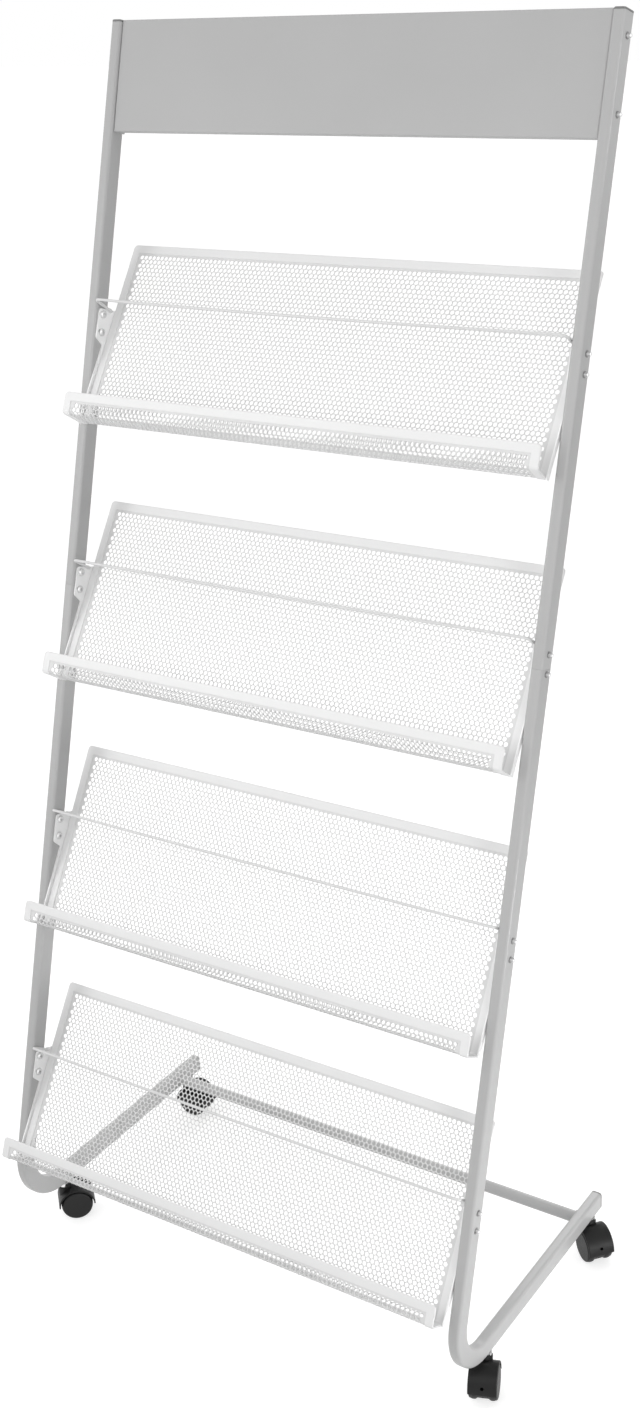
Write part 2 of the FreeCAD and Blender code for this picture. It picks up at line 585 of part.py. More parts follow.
def caster_wheel(side):
    """Crowned wheel with a closed outer face, hollow towards the housing."""
    edge, bore = WHEEL_R - WHEEL_CROWN, AXLE_D / 2 + RUNNING_FIT
    width, shoulder = WHEEL_WIDTH, WHEEL_SHOULDER
    bend = shoulder * (1 - math.sqrt(0.5))
    crown = (width - shoulder + shoulder / 3) / 2
    outline = [
        (0, width), (edge - shoulder, width), (edge, width - shoulder), (edge, shoulder / 3),
        (edge - shoulder / 3, 0), (WHEEL_R - WHEEL_RIM, 0), (WHEEL_R - WHEEL_RIM, WHEEL_RECESS),
        (WHEEL_HUB_D / 2, WHEEL_RECESS), (WHEEL_HUB_D / 2, 0), (bore, 0),
        (bore, width - WHEEL_END_WALL), (0, width - WHEEL_END_WALL),
    ]
    points = [Vector(radius, y, 0) for radius, y in outline]
    edges = [Part.makeLine(a, b) for a, b in zip(points, points[1:] + points[:1])]
    edges[1] = Part.Arc(points[1], Vector(edge - bend, width - bend, 0), points[2]).toShape()
    edges[2] = Part.Arc(points[2], Vector(WHEEL_R, crown, 0), points[3]).toShape()
    wheel = Part.Face(Part.Wire(edges)).revolve(Vector(0, 0, 0), ALONG_Y, 360)
    inner = HOUSING_WIDTH / 2 + WHEEL_GAP
    turn = Rotation(ALONG_X, 0.0 if side == "left" else 180.0)
    return placed(wheel, Placement(Vector(0, 0, 0), turn),
                  shift(CASTER_TRAIL, inner if side == "left" else -inner, WHEEL_R))


def caster_place(name):
    """Placement of a caster, named after its end and side of the rack."""
    end, side = name.split("_")
    return Placement(Vector(SIDES[side] * FRAME_X, caster_places()[end], 0),
                     Rotation(ALONG_Z, CASTER_HEADINGS[name]))


# ---- build and export

def build():
    """Every node of the rack by name."""
    nodes = {}
    for side, sign in SIDES.items():
        aside = shift(x=sign * FRAME_X)
        nodes["lower_side_frame_" + side] = placed(lower_side_frame(sign), aside)
        nodes["upper_upright_" + side] = placed(upper_upright(sign), aside)
        nodes["joint_sleeve_" + side] = placed(joint_sleeve(sign), aside)
        top, back = shift(z=UPRIGHT_LENGTH - CAP_PLATE), shift(z=FOOT_LENGTH - CAP_PLATE)
        nodes["upright_cap_" + side] = placed(tube_cap(), top, UPRIGHT, aside)
        nodes["foot_cap_" + side] = placed(tube_cap(), back, FOOT, aside)
    nodes["rear_bar"] = rear_bar()
    nodes["header_panel"] = header_panel()
    nodes["header_bolts"], nodes["header_nuts"] = bolt_set(HEADER_BOLTS, HEADER_SHEET + HEADER_FIT)
    nodes["shelf_bolts"], nodes["shelf_nuts"] = bolt_set(SHELF_BOLTS, BRACKET_SHEET)
    pieces = {"mesh": shelf_mesh(), "edging": shelf_edging(), "wire": retainer_wire(),
              "bracket_left": shelf_bracket("left"), "bracket_right": shelf_bracket("right")}
    for index in range(len(SHELF_SWINGS)):
        for name, piece in pieces.items():
            nodes["shelf_%d_%s" % (index + 1, name)] = placed(piece, shelf_place(index))
    pieces = {"stem": caster_stem(), "housing": caster_housing(), "axle": caster_axle(),
              "wheel_left": caster_wheel("left"), "wheel_right": caster_wheel("right")}
    for caster in CASTER_HEADINGS:
        for name, piece in pieces.items():
            nodes["caster_%s_%s" % (caster, name)] = placed(piece, caster_place(caster))
    inserts = [placed(caster_insert(), caster_place(caster)) for caster in CASTER_HEADINGS]
    nodes["caster_inserts"] = Part.makeCompound(inserts)
    return nodes


os.makedirs("parts", exist_ok=True)
for node, shape in build().items():
    shape.exportStep("parts/" + node + ".step")
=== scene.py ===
# %% [markdown]
# # A periodical display rack
# The rack is two leaning tube frames on casters, with four sloping shelves of perforated sheet and
# a blank header panel between them. The CAD model that is loaded first holds every piece at its
# real size. The cells below give each piece the surface that the real one has, and leave it in place.

# %% Load the CAD model
import json
import math

import bpy
import numpy as np
from mathutils import Matrix, Vector

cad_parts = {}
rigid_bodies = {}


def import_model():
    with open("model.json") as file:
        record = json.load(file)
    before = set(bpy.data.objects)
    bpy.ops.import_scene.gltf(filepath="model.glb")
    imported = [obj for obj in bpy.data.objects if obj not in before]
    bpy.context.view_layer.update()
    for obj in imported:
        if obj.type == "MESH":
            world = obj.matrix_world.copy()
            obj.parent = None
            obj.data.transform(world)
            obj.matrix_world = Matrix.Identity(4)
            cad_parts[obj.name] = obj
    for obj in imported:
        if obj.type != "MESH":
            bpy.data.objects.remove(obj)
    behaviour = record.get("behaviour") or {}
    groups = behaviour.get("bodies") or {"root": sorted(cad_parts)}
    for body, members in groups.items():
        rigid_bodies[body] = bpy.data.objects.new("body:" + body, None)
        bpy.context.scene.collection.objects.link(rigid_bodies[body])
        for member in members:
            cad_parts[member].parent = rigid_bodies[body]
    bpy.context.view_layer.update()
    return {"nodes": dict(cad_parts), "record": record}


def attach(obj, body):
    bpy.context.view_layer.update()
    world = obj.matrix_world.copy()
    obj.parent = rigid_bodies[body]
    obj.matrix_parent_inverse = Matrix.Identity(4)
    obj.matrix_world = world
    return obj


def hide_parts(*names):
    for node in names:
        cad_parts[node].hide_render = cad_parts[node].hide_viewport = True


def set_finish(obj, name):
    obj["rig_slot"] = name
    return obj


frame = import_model()
nodes = frame["nodes"]
print("CAD nodes:", len(nodes))


# %% [markdown]
# ## Units and helpers
# Sizes are written in millimetres, as a maker writes them, and turned into Blender's metres once.
# A shape is worked out as whole numpy arrays and put into a mesh in one call. That is much faster
# than adding vertices one by one, and the formula stays in sight.

# %% Millimetres, and numpy arrays into a mesh
MM = 0.001
SMOOTH_ANGLE = math.radians(50)      # edges that turn more than this stay sharp


def enclosed_volume(mesh):
    """Sum of the tetrahedra from the origin to each triangle; negative if the faces point inwards."""
    mesh.calc_loop_triangles()
    corners = np.empty(3 * len(mesh.loop_triangles), np.int32)
    mesh.loop_triangles.foreach_get("vertices", corners)
    places = np.empty(3 * len(mesh.vertices), np.float32)
    mesh.vertices.foreach_get("co", places)
    a, b, c = places.reshape(-1, 3)[corners.reshape(-1, 3)].astype(float).transpose(1, 0, 2)
    return float(np.einsum("ij,ij->i", a, np.cross(b, c)).sum() / 6)


def add_piece(name, points, faces, body, slot, replaced=()):
    """Makes a closed object from points in millimetres and faces, and gives it to a body."""
    mesh = bpy.data.meshes.new(name)
    mesh.from_pydata((np.asarray(points) * MM).tolist(), [], [tuple(face) for face in faces])
    if enclosed_volume(mesh) < 0:
        mesh.flip_normals()
    mesh.polygons.foreach_set("use_smooth", np.ones(len(mesh.polygons), bool))
    mesh.set_sharp_from_angle(angle=SMOOTH_ANGLE)
    mesh.update()
    piece = bpy.data.objects.new(name, mesh)
    bpy.context.scene.collection.objects.link(piece)
    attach(piece, body)
    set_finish(piece, slot)
    if replaced:
        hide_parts(*replaced)
    return piece


def grid_faces(rows, columns, wrap_rows=False, wrap_columns=False):
    """Quads of a grid whose point (i, j) is number i * columns + j; a wrapped side joins up."""
    i = np.arange(rows if wrap_rows else rows - 1)[:, None]
    j = np.arange(columns if wrap_columns else columns - 1)[None, :]
    i_next, j_next = (i + 1) % rows, (j + 1) % columns
    corners = [i * columns + j, i * columns + j_next, i_next * columns + j_next, i_next * columns + j]
    return np.stack([np.broadcast_to(c, (i.size, j.size)) for c in corners], -1).reshape(-1, 4)


def joined(parts):
    """One set of points and faces from several; each part's faces count on from the last part's."""
    points, faces, count = [], [], 0
    for part_points, part_faces in parts:
        points.append(part_points)
        faces += [tuple(int(n) + count for n in face) for face in part_faces]
        count += len(part_points)
    return np.concatenate(points), faces


def node_points(name):
    """Vertices of a CAD node in millimetres, as an array of rows."""
    mesh = nodes[name].data
    flat = np.empty(3 * len(mesh.vertices), np.float32)
    mesh.vertices.foreach_get("co", flat)
    return flat.reshape(-1, 3).astype(float) / MM


print("points of the header panel's solid:", len(node_points("header_panel")))


# %% [markdown]
# ## Camera
# A camera has a place, a direction and a lens. The direction is given as a turn about the vertical,
# a tilt down and a slight roll, and the lens as the angle that it sees from top to bottom.

# %% Make the camera
IMAGE_HEIGHT = 1408                          # pixels
FOCAL_LENGTH = 1841.72                       # in the same pixels
CAMERA_PLACE = (1.22162, -1.70078, 1.69570)  # metres
CAMERA_TURN = math.radians(34.334)           # from +Y towards -X
CAMERA_TILT = math.radians(22.847)           # down from level
CAMERA_ROLL = math.radians(-3.17)


def camera_matrix(place, turn, tilt, roll):
    """Matrix whose columns are the camera's right, up and backward directions, and its place."""
    forward = Vector((-math.sin(turn) * math.cos(tilt), math.cos(turn) * math.cos(tilt), -math.sin(tilt)))
    level_right = Vector((math.cos(turn), math.sin(turn), 0))
    level_up = level_right.cross(forward)
    right = math.cos(roll) * level_right + math.sin(roll) * level_up
    up = math.cos(roll) * level_up - math.sin(roll) * level_right
    matrix = Matrix((right, up, -forward)).transposed().to_4x4()
    matrix.translation = place
    return matrix


lens = bpy.data.cameras.new("camera")
lens.sensor_fit = "VERTICAL"
lens.angle = 2 * math.atan(IMAGE_HEIGHT / 2 / FOCAL_LENGTH)
camera = bpy.data.objects.new("camera", lens)
camera.matrix_world = camera_matrix(CAMERA_PLACE, CAMERA_TURN, CAMERA_TILT, CAMERA_ROLL)
bpy.context.scene.collection.objects.link(camera)
bpy.context.scene.camera = camera
print("camera sees %.1f degrees from top to bottom" % math.degrees(lens.angle))


# %% [markdown]
# ## Swept shapes
# Tubes, wires, rims and weld beads are all one idea: a cross-section carried along a line. The line
# gives a centre and two directions at each station, and the section gives points in those two
# directions. Sections may differ from station to station, so an end can be drawn in to a soft edge.

# %% Sweep a section along a line
def sweep(centres, first, second, sections):
    """Point j of station i: centre i, plus p_j times the first direction, plus q_j times the second."""
    p, q = sections[..., 0, None], sections[..., 1, None]
    return (centres[:, None, :] + p * first[:, None, :] + q * second[:, None, :]).reshape(-1, 3)


def tube_faces(stations, around):
    """Side faces of a sweep with a closed section, and one face over each end."""
    ends = [tuple(range(around)), tuple(stations * around - 1 - j for j in range(around))]
    return [tuple(face) for face in grid_faces(stations, around, wrap_columns=True).tolist()] + ends


def circle(radius, points):
    """Points of a circle, anticlockwise."""
    angle = np.arange(points) * 2 * math.pi / points
    return radius * np.stack([np.cos(angle), np.sin(angle)], -1)


def rounded_rectangle(width, depth, radius, steps=6, land=0.4):
    """Rectangle with rounded corners. A point on each flat, just beside the arc, keeps the flat flat.

    A corner arc is its centre plus radius times (cos t, sin t) over a quarter turn.
    """
    quarter = np.linspace(0, math.pi / 2, steps + 1)
    corners = []
    for turn, sx, sy in ((0, 1, 1), (1, -1, 1), (2, -1, -1), (3, 1, -1)):
        centre = np.array([sx * (width / 2 - radius), sy * (depth / 2 - radius)])
        angle = quarter + turn * math.pi / 2
        arc = centre + radius * np.stack([np.cos(angle), np.sin(angle)], -1)
        before = arc[0] + land * np.array([math.sin(angle[0]), -math.cos(angle[0])])
        after = arc[-1] + land * np.array([-math.sin(angle[-1]), math.cos(angle[-1])])
        corners += [before[None], arc, after[None]]
    return np.concatenate(corners)


print("points of a rounded 15 x 25 mm section:", len(rounded_rectangle(15, 25, radius=4)))


# %% [markdown]
# ## Side frames
# Each side of the rack is a rectangular tube, bent once above the front caster. It is made in two
# lengths that meet beside the second shelf, where a fine dark line shows. A sweep gives the bend
# truly round corners, and both lengths end in a slight round, which makes the line by itself.

# %% The line of a side frame
FRAME_X = 343.0                   # the middle of the tube, from the middle of the rack
TUBE_WIDTH, TUBE_DEPTH, TUBE_CORNER = 15.0, 25.0, 4.0
LEAN = math.radians(16.4)
CROSSING = np.array([0.0, -217.0, 69.5])  # where the lines of the upright and the foot would meet
UPRIGHT_END = 1591.5              # under the cap, along the upright from the crossing
SEAM = 878.8                      # along the upright too
FOOT_END = 406.5                  # back from the crossing
BEND_RADIUS = 60.0
BEND_TURN = math.radians(90) + LEAN
BEND_TANGENT = BEND_RADIUS * math.tan(BEND_TURN / 2)
BEND_STATIONS = 41
BESIDE_BEND = 1.0                 # a station this far from the bend keeps the straight parts straight
END_ROUND = 0.45                  # of the tube's cut ends
END_STEPS = np.array([0.0, 0.3, 0.7, 1.0])  # stations through the round, as shares of it


def upright_point(along):
    """Points on the upright's middle line: crossing plus distance times (0, sin lean, cos lean)."""
    return CROSSING + np.multiply.outer(along, [0, math.sin(LEAN), math.cos(LEAN)])


def end_insets(stations):
    """How far the section is drawn in at each station: a quarter round at both ends, else nothing.

    At a share s of the round's length from the end it is the round times 1 - sqrt(1 - (1 - s)^2).
    """
    inset = np.zeros(stations)
    fall = END_ROUND * (1 - np.sqrt(1 - (1 - END_STEPS) ** 2))
    inset[:len(fall)] = fall
    inset[-len(fall):] = fall[::-1]
    return inset


def tube_sweep(centres, outwards):
    """Rectangular tube about a line in an upright plane; outwards is the direction of its front."""
    sections = np.array([rounded_rectangle(TUBE_WIDTH - 2 * i, TUBE_DEPTH - 2 * i, TUBE_CORNER - i)
                         for i in end_insets(len(centres))])
    sideways = np.broadcast_to([1.0, 0, 0], centres.shape)
    return sweep(centres, sideways, outwards, sections), tube_faces(len(centres), sections.shape[1])


def upper_tube():
    """Straight tube from the seam to the cap."""
    ends = END_ROUND * END_STEPS
    along = np.concatenate([SEAM + ends, UPRIGHT_END - ends[::-1]])
    front = np.broadcast_to([0, -math.cos(LEAN), math.sin(LEAN)], (len(along), 3))
    return tube_sweep(upright_point(along), front)


def lower_tube():
    """Tube from the seam down the upright, round the bend and back along the foot.

    In the bend a point is the bend's centre plus the radius times (0, -sin t, -cos t), with t from
    the bend's whole turn at the upright to nothing at the foot.
    """
    ends = END_ROUND * END_STEPS
    down = upright_point(np.concatenate([SEAM - ends, [BEND_TANGENT + BESIDE_BEND]]))
    turn = np.linspace(BEND_TURN, 0, BEND_STATIONS)
    centre = CROSSING + [0, BEND_TANGENT, BEND_RADIUS]
    radial = np.stack([np.zeros_like(turn), -np.sin(turn), -np.cos(turn)], -1)
    back = np.concatenate([[BEND_TANGENT + BESIDE_BEND], FOOT_END - ends[::-1]])
    foot = CROSSING + np.multiply.outer(back, [0, 1.0, 0])
    centres = np.concatenate([down, centre + BEND_RADIUS * radial, foot])
    outwards = np.concatenate([np.repeat(radial[:1], len(down), 0), radial,
                               np.repeat(radial[-1:], len(foot), 0)])
    return tube_sweep(centres, outwards)


# %% Both side frames
for side, sign in (("left", -1), ("right", 1)):
    aside = np.array([sign * FRAME_X, 0, 0])
    for name, make, node in (("upper_tube_", upper_tube, "upper_upright_"),
                             ("bent_tube_", lower_tube, "lower_side_frame_")):
        points, faces = make()
        add_piece(name + side, points + aside, faces, "frame", "tube_paint", [node + side])
print("faces of a bent tube:", len(faces))


# %% [markdown]
# ## Rear bar and its welds
# A round bar joins the two feet. It is welded all round, and a weld bead is not smooth: it is a row
# of overlapping ripples, one for each moment that the metal froze. So a bead is swept along its
# line with a radius that rises and falls.

# %% Weld beads
BEAD_RADIUS = 1.5
BEAD_AROUND = 10                  # points round a bead's own section
RING_STATIONS = 144               # along a bead that goes round a bar
BEAD_STATIONS = 33                # along a short bead
BEAD_TIP = 0.02                   # share of the radius that is left at a short bead's tips
RIPPLE = 1.5                      # length of one ripple
RIPPLE_HEIGHT = 0.14              # share of the radius
ACROSS = np.array([1.0, 0, 0])    # from side to side of the rack


def rippled(distance, radius):
    """Bead's radius: a row of half waves, radius times (1 + height * |sin(pi * distance / ripple)|)."""
    return radius * (1 + RIPPLE_HEIGHT * np.abs(np.sin(math.pi * distance / RIPPLE)))


def ring_bead(centre, ring_radius):
    """Bead round a bar that runs across: a ring whose own section is a small rippled circle."""
    turn = np.arange(RING_STATIONS) * 2 * math.pi / RING_STATIONS
    out = np.stack([np.zeros_like(turn), np.cos(turn), np.sin(turn)], -1)
    radius = rippled(turn * ring_radius, BEAD_RADIUS)
    sections = radius[:, None, None] * circle(1.0, BEAD_AROUND)[None]
    points = sweep(np.asarray(centre) + ring_radius * out, out, np.broadcast_to(ACROSS, out.shape), sections)
    return points, grid_faces(RING_STATIONS, BEAD_AROUND, True, True)


def short_bead(start, end, radius):
    """Bead along a short line, drawn in to a round at both ends.

    With t from 0 to 1 along the line, the radius is multiplied by sqrt(1 - (2 t - 1)^4).
    """
    start, end = np.asarray(start, float), np.asarray(end, float)
    t = np.linspace(0, 1, BEAD_STATIONS)
    length = np.linalg.norm(end - start)
    along = (end - start) / length
    first = np.cross(along, ACROSS) / np.linalg.norm(np.cross(along, ACROSS))
    second = np.cross(along, first)
    swell = np.sqrt(np.clip(1 - (2 * t - 1) ** 4, BEAD_TIP ** 2, 1))
    sections = (rippled(t * length, radius) * swell)[:, None, None] * circle(1.0, BEAD_AROUND)[None]
    centres = start + np.multiply.outer(t, end - start)
    points = sweep(centres, np.tile(first, (len(t), 1)), np.tile(second, (len(t), 1)), sections)
    return points, tube_faces(BEAD_STATIONS, BEAD_AROUND)


print("a bead's radius: %.2f to %.2f mm" % tuple(rippled(np.array([0, RIPPLE / 2]), BEAD_RADIUS)))


# %% The bar, and a bead round each end
BAR_RADIUS = 8.0
BAR_AROUND = 48                   # points round the bar
BAR_HALF_LENGTH = 335.5
BAR_Y, BAR_Z = 143.0, 69.5
BESIDE_END = 1.0                  # a station this far from each end keeps the bar's side straight
BEAD_INSET = 0.6                  # the middle of a bead, from the end of the bar
BEAD_LIFT = 0.2                   # and off the bar's side

bar_x = np.array([-BAR_HALF_LENGTH, -BAR_HALF_LENGTH + BESIDE_END, BAR_HALF_LENGTH - BESIDE_END,
                  BAR_HALF_LENGTH])
bar_line = np.stack([bar_x, np.full_like(bar_x, BAR_Y), np.full_like(bar_x, BAR_Z)], -1)
bar_points = sweep(bar_line, np.tile([0, 1.0, 0], (len(bar_x), 1)), np.tile([0, 0, 1.0], (len(bar_x), 1)),
                   circle(BAR_RADIUS, BAR_AROUND)[None])
add_piece("rear_bar_tube", bar_points, tube_faces(len(bar_x), BAR_AROUND), "frame", "tube_paint",
          ["rear_bar"])
beads = [ring_bead((sign * (BAR_HALF_LENGTH - BEAD_INSET), BAR_Y, BAR_Z), BAR_RADIUS + BEAD_LIFT)
         for sign in (-1, 1)]
add_piece("rear_bar_welds", *joined(beads), "frame", "tube_paint")
print("ripples in a ring bead:", round(2 * math.pi * BAR_RADIUS / RIPPLE))


# %% [markdown]
# ## The folded line of a shelf
# Each shelf is one sheet, folded into a back panel, a tray floor and a front lip. It is easiest to
# lay everything out on the flat sheet, and then to carry each point along the folded line. So this
# cell is the press brake: it takes a distance along the flat sheet and gives the place in the shelf.

# %% From the flat sheet to the folded one
PANEL_HEIGHT = 248.0
TRAY_DEPTH = 36.5
LIP_HEIGHT = 27.3
LIP_FLARE = math.radians(11.2)
FOLD_RADIUS = 4.0
SHELF_HALF_WIDTH = 334.0
TRAY_SPREAD = 3.5                 # the tray's front and the lip are this much wider at each end
SPREAD_START = 5.0
FOLD_TURNS = [math.pi / 2, math.pi / 2 - LIP_FLARE]
FOLD_TANGENTS = [FOLD_RADIUS * math.tan(turn / 2) for turn in FOLD_TURNS]
RUNS = [PANEL_HEIGHT - FOLD_TANGENTS[0], TRAY_DEPTH - sum(FOLD_TANGENTS), LIP_HEIGHT - FOLD_TANGENTS[1]]
FOLDS = [FOLD_RADIUS * turn for turn in FOLD_TURNS]
FLAT_LENGTH = sum(RUNS) + sum(FOLDS)


def folded_line(along):
    """Out and up of the sheet's middle line, and its heading, at distances down from the panel's top.

    The line is three straight runs joined by arcs. Each run or arc adds its own share: a straight
    run adds distance times heading, an arc of radius r adds r sin(t) forwards and r (1 - cos(t))
    to the side, where t is the angle turned so far.
    """
    out, up = np.zeros_like(along), np.full_like(along, PANEL_HEIGHT)
    heading = np.full_like(along, -math.pi / 2)
    start, angle = 0.0, -math.pi / 2
    steps = [(RUNS[0], 0), (FOLDS[0], FOLD_TURNS[0]), (RUNS[1], 0), (FOLDS[1], FOLD_TURNS[1]), (RUNS[2], 0)]
    for length, turn in steps:
        local = np.clip(along - start, 0, length)
        if turn:
            turned = local / FOLD_RADIUS
            ahead, aside = FOLD_RADIUS * np.sin(turned), FOLD_RADIUS * (1 - np.cos(turned))
            heading = heading + turned
        else:
            ahead, aside = local, np.zeros_like(local)
        out = out + ahead * math.cos(angle) - aside * math.sin(angle)
        up = up + ahead * math.sin(angle) + aside * math.cos(angle)
        start, angle = start + length, angle + turn
    return out, up, heading


def on_sheet(across, along, offset):
    """Points of the folded sheet in the shelf's own frame: across, out and up, moved off the middle."""
    out, up, heading = folded_line(along)
    out, up = out + offset * -np.sin(heading), up + offset * np.cos(heading)
    share = np.clip((out - SPREAD_START) / (TRAY_DEPTH - SPREAD_START), 0, 1)
    return np.stack([across * (1 + share * TRAY_SPREAD / SHELF_HALF_WIDTH), out, up], -1)


print("flat sheet: %.1f mm from rim to rim" % FLAT_LENGTH)


# %% Where each shelf is
SHELVES = (1, 2, 3, 4)
SHEET = 1.0                       # thickness
STRAIGHT = 0.01                   # an edge that changes by less than this across runs straight up
END_BAND = 1.5                    # points this near to the shelf's half width are on its end


def shelf_frame(number):
    """Corner of the fold and the directions across, out and up of a shelf, measured on its CAD sheet.

    The longest edge of the sheet's end runs up the panel, so it gives the direction up.
    """
    name = "shelf_%d_mesh" % number
    mesh = nodes[name].data
    points = node_points(name)
    pairs = np.empty(2 * len(mesh.edges), np.int32)
    mesh.edges.foreach_get("vertices", pairs)
    a, b = points[pairs[0::2]], points[pairs[1::2]]
    span = b - a
    at_end = (np.abs(span[:, 0]) < STRAIGHT) & (np.abs(np.abs(a[:, 0]) - SHELF_HALF_WIDTH) < END_BAND)
    longest = span[at_end][np.argmax(np.linalg.norm(span[at_end], axis=1))]
    up = longest / np.linalg.norm(longest) * np.sign(longest[2])
    out = np.array([0, -up[2], up[1]])
    corner = up * ((points @ up).min() + SHEET / 2) + out * ((points @ out).min() + SHEET / 2)
    return corner, np.array([[1, 0, 0], out, up])


shelf_frames = {number: shelf_frame(number) for number in SHELVES}


def from_shelf(points, number):
    """Points of a shelf's own frame in the rack's frame."""
    corner, directions = shelf_frames[number]
    return corner + points @ directions


for number in SHELVES:
    up = shelf_frames[number][1][2]
    print("shelf", number, "leans", round(math.degrees(math.atan2(up[1], up[2])), 2), "degrees")


# %% [markdown]
# ## Perforated sheet
# The sheet is perforated with round holes in a 60 degree stagger. A picture of holes would show no
# thickness and no light through them, so every hole here is real. The trick is to use no points but
# those on the rims: with eight points to a hole, the metal between the holes is five quads for each
# hole on each side. The same holes go round the folds, because the sheet was punched flat.

# %% The lattice of holes
SHEET_TRIM = 0.85                 # the sheet ends this far inside the edging
HOLE_PITCH = 6.5
ROW_PITCH = HOLE_PITCH * math.sin(math.radians(60))
HOLE_RADIUS = 3.0                 # to the corners of an eight-sided rim; the web is under 1 mm
RIM_POINTS = 8
PLAIN_MARGIN = 11.5               # no holes nearer than this to the edge of the shelf
COLUMNS = int(2 * (SHELF_HALF_WIDTH - SHEET_TRIM) / HOLE_PITCH)
ROWS = int((FLAT_LENGTH - 2 * SHEET_TRIM) / ROW_PITCH)

column, row = np.meshgrid(np.arange(COLUMNS), np.arange(ROWS), indexing="ij")


def hole_centres():
    """Centre of each hole on the flat sheet: across from the middle, and along from the panel's top.

    A hole is its column times the pitch across, and a quarter pitch to the left or to the right in
    turn from row to row. It is its row times the row pitch along. The lattice is centred.
    """
    across = (column - (COLUMNS - 1) / 2 + np.where(row % 2, 0.25, -0.25)) * HOLE_PITCH
    along = (row + 0.5) * ROW_PITCH + (FLAT_LENGTH - ROWS * ROW_PITCH) / 2
    return across, along


def rims(across, along):
    """Rim points of all holes on the front of the folded sheet, and then the same on its back.

    A rim point is the hole's centre plus radius times (cos t, sin t), where up the sheet counts as
    positive. Point 0 is just above the hole's right side, and the others follow anticlockwise.
    """
    turn = (np.arange(RIM_POINTS) + 0.5) * 2 * math.pi / RIM_POINTS
    across = (across[..., None] + HOLE_RADIUS * np.cos(turn)).ravel()
    along = (along[..., None] - HOLE_RADIUS * np.sin(turn)).ravel()
    return np.concatenate([on_sheet(across, along, SHEET / 2), on_sheet(across, along, -SHEET / 2)])


def rim_number(i, j, k):
    """Number of rim point k of the hole in column i and row j."""
    return (i * ROWS + j) * RIM_POINTS + k


print("holes in the lattice:", column.size)


# %% The metal between the holes
def webs():
    """Quads between the holes, each from the rim points of the two or three holes about it.

    Seen from one hole they are the webs to the holes at the right, the upper right and the upper
    left, the joint of webs above the hole, and the joint below it. An odd row stands to the right
    of its neighbours, so its upper right hole is one column further on.
    """
    odd = row % 2
    here, right = (column, row), (column + 1, row)
    up_right, up_left = (column + odd, row - 1), (column + odd - 1, row - 1)
    down_right, down_left = (column + odd, row + 1), (column + odd - 1, row + 1)
    patterns = [
        [(here, 0), (here, 7), (right, 4), (right, 3)],
        [(here, 1), (here, 0), (up_right, 5), (up_right, 4)],
        [(here, 3), (here, 2), (up_left, 7), (up_left, 6)],
        [(here, 2), (here, 1), (up_right, 4), (up_left, 7)],
        [(here, 6), (here, 5), (down_left, 0), (down_right, 3)],
    ]
    quads = []
    for pattern in patterns:
        there = np.logical_and.reduce([(i >= 0) & (i < COLUMNS) & (j >= 0) & (j < ROWS)
                                       for (i, j), _ in pattern])
        quads.append(np.stack([rim_number(*hole, k) for hole, k in pattern], -1)[there])
    return np.concatenate(quads)


def closed_sheet(faces, count):
    """The same faces on the other side, turned over, and a wall along every open edge."""
    starts = np.concatenate([np.array(f) for f in faces])
    ends = np.concatenate([np.roll(f, -1) for f in faces])
    open_edge = ~np.isin(starts * count + ends, ends * count + starts)
    a, b = starts[open_edge], ends[open_edge]
    walls = np.stack([b, a, a + count, b + count], -1)
    behind = [tuple(n + count for n in reversed(f)) for f in faces]
    return faces + behind + [tuple(f) for f in walls.tolist()]


def perforated_sheet():
    """Points and faces of a sheet in the shelf's own frame, and how many holes it has.

    Where a hole would come too near to the edge, a disc fills its rim, so the margin stays plain.
    """
    across, along = hole_centres()
    edge = np.minimum(SHELF_HALF_WIDTH - np.abs(across), np.minimum(along, FLAT_LENGTH - along))
    plain = edge - HOLE_RADIUS < PLAIN_MARGIN
    discs = rim_number(column[plain][:, None], row[plain][:, None], np.arange(RIM_POINTS)[None, :])
    faces = [tuple(f) for f in webs().tolist()] + [tuple(f) for f in discs.tolist()]
    return rims(across, along), closed_sheet(faces, column.size * RIM_POINTS), int((~plain).sum())


sheet_points, sheet_faces, hole_count = perforated_sheet()
for number in SHELVES:
    add_piece("shelf_%d_perforated_sheet" % number, from_shelf(sheet_points, number), sheet_faces,
              "frame", "mesh_paint", ["shelf_%d_mesh" % number])
print("holes in a shelf:", hole_count, "faces:", len(sheet_faces))


# %% [markdown]
# ## Folded edging
# A strip of thin sheet is folded over the perforated sheet's edge, all round, so that nobody touches
# raw holes. Its edge is a half round and its two flanks lie flat. The surface has two parameters:
# one runs round the shelf's outline on the flat sheet, the other round the folded strip.

# %% Outline of the flat sheet, and the strip's section
EDGE_WIDTH = 11.0
EDGE_HALF = 1.35                  # half the strip's whole thickness
GROOVE_HALF = 0.55                # half the groove that holds the sheet
TOP_CORNER = 5.0                  # outer radius of the shelf's corners
INNER_CORNER = 1.0                # and the radius of the strip's inner edge there
CORNER_LAND = 4.0                 # a station this far from each corner keeps the sides straight
BESIDE_FOLD = 1.0                 # and one this far from each fold
FOLD_STATIONS = 11                # through a fold
CORNER_STATIONS = 7               # round a corner of the outline
HEM_STATIONS = 9                  # round the half round of the strip's outer edge
BREAK, BREAK_MIDDLE = 0.25, 0.08  # a small round on the strip's inner edges: its size, and its middle


def fold_stations():
    """Distances along the sheet where the outline needs points: through both folds and beside them."""
    first = RUNS[0]
    second = first + FOLDS[0] + RUNS[1]
    shares = np.linspace(0, 1, FOLD_STATIONS)
    arcs = [start + length * shares for start, length in zip((first, second), FOLDS)]
    return np.concatenate([[first - BESIDE_FOLD], arcs[0],
                           [arcs[0][-1] + BESIDE_FOLD, second - BESIDE_FOLD], arcs[1],
                           [arcs[1][-1] + BESIDE_FOLD]])


